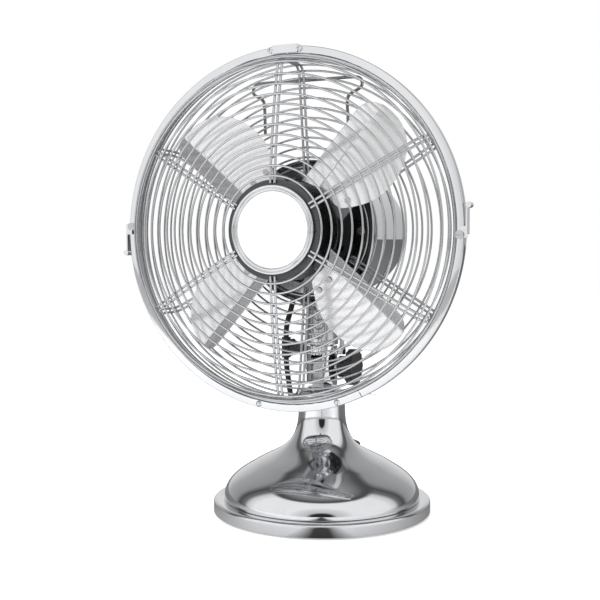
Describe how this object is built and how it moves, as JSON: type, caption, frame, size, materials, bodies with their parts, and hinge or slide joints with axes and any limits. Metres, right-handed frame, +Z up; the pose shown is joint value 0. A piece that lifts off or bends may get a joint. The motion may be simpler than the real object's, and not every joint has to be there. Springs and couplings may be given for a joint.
{
  "type": "desk fan",
  "caption": "Free-standing desk fan with round chromed pedestal, tilting and oscillating neck, motor housing, broad blades and a wire guard with a round badge.",
  "frame": {"origin": "centre of the foot's rest plane on the table", "axes": "+Z up along the pedestal, -Y forwards, the way the air goes, +X towards the tilt knob"},
  "size_m": [0.347, 0.253, 0.4496],
  "materials": {
    "chrome": "bright polished chrome plate",
    "chrome_wire": "chromed wire",
    "black_steel": "semi-gloss black paint",
    "dark_steel": "dark satin paint",
    "dark_wire": "dark nickel finish on wire",
    "cast_iron": "bare cast iron",
    "rubber": "matt black rubber",
    "cable": "black flexible sheath",
    "zinc": "zinc-plated steel",
    "satin_steel": "satin steel",
    "black_plastic": "moulded black plastic",
    "bronze": "sintered bronze",
    "laminations": "stacked sheet steel",
    "copper": "varnished winding wire",
    "cast_zinc": "as-cast light alloy",
    "white_enamel": "glossy white enamel",
    "nylon": "natural nylon",
    "polished_blade": "polished light alloy"
  },
  "bodies": {
    "base": {"foot_ring": "chrome", "base_dome": "chrome", "base_plate": "black_steel", "ballast_weight": "cast_iron", "base_pad": "rubber", "plate_screws": "zinc", "tie_rod": "zinc", "tilt_post": "satin_steel", "neck_cap": "chrome", "cable_bushes": "black_plastic", "speed_switch": "black_plastic", "motor_lead_lower": "cable"},
    "speed_knob": {"speed_knob": "black_plastic"},
    "tilt": {"tilt_block": "chrome", "tilt_nut": "zinc", "swivel_pin": "satin_steel", "link_stud": "zinc", "lead_clamp": "black_plastic"},
    "tilt_knob": {"tilt_knob": "black_plastic", "tilt_stud": "zinc"},
    "link": {"drag_link": "zinc"},
    "head": {"neck_casting": "chrome", "swivel_bush": "bronze", "motor_front_plate": "black_steel", "motor_housing": "chrome", "stator_core": "laminations", "stator_windings": "copper", "motor_bolts": "zinc", "shaft_bearings": "bronze", "gearbox_case": "cast_zinc", "rear_guard_spokes": "chrome_wire", "rear_guard_rings": "chrome_wire", "rear_guard_hoops": "chrome_wire", "guard_screws": "zinc", "front_guard_spokes": "chrome_wire", "front_guard_rings": "chrome_wire", "front_guard_hoops": "chrome_wire", "trim_band": "chrome", "band_rivets": "chrome", "badge_plate": "black_steel", "badge_rim": "chrome", "badge_disc": "white_enamel", "top_hook": "chrome", "latch_screws": "zinc", "carry_handle": "dark_wire", "motor_lead_upper": "cable"},
    "latch_right": {"latch_right": "chrome"},
    "latch_left": {"latch_left": "chrome"},
    "oscillation_knob": {"oscillation_knob": "black_plastic"},
    "crank": {"worm_gear": "nylon", "crank_shaft": "zinc"},
    "fan": {"motor_shaft": "satin_steel", "rotor": "laminations", "blade_hub": "dark_steel", "blade_1": "polished_blade", "blade_2": "polished_blade", "blade_3": "polished_blade", "blade_4": "polished_blade", "blade_rivets": "satin_steel", "blade_nut": "black_plastic"}
  },
  "joints": [
    {"name": "tilt", "type": "hinge", "parent": "base", "child": "tilt", "pos_m": [0, 0, 0.147], "axis": [-1, 0, 0], "range_deg": [-12, 25], "deforming": ["motor_lead_lower"]},
    {"name": "tilt_knob_turn", "type": "hinge", "parent": "tilt", "child": "tilt_knob", "pos_m": [0, 0, 0.147], "axis": [1, 0, 0], "range_deg": [-360, 0]},
    {"name": "oscillation", "type": "hinge", "parent": "tilt", "child": "head", "pos_m": [0, 0, 0.2], "axis": [0, 0, 1], "range_deg": [-37, 37], "deforming": ["motor_lead_upper"]},
    {"name": "link_swing", "type": "hinge", "parent": "tilt", "child": "link", "pos_m": [0.0215, 0, 0.2], "axis": [0, 0, 1], "range_deg": [-36, 36]},
    {"name": "blade_spin", "type": "hinge", "parent": "head", "child": "fan", "pos_m": [0, -0.08, 0.281], "axis": [0, 1, 0], "continuous": true},
    {"name": "crank_spin", "type": "hinge", "parent": "head", "child": "crank", "pos_m": [0.018, 0.058, 0.25], "axis": [0, 0, 1], "continuous": true},
    {"name": "oscillation_pull", "type": "slide", "parent": "head", "child": "oscillation_knob", "axis": [0, 0, 1], "range_m": [0, 0.007]},
    {"name": "latch_right_swing", "type": "hinge", "parent": "head", "child": "latch_right", "pos_m": [0.1636, -0.092, 0.276], "axis": [0, 1, 0], "range_deg": [0, 35]},
    {"name": "latch_left_swing", "type": "hinge", "parent": "head", "child": "latch_left", "pos_m": [-0.1636, -0.092, 0.286], "axis": [0, 1, 0], "range_deg": [0, 35]},
    {"name": "speed_turn", "type": "hinge", "parent": "base", "child": "speed_knob", "pos_m": [0, 0.0764, 0.0448], "axis": [0, 0.524, 0.8517], "range_deg": [-135, 0]}
  ],
  "couplings": [
    {"joint": "link_swing", "follows": "oscillation", "ratio": 0.94},
    {"joint": "crank_spin", "follows": "blade_spin", "ratio": 0.033333}
  ]
}
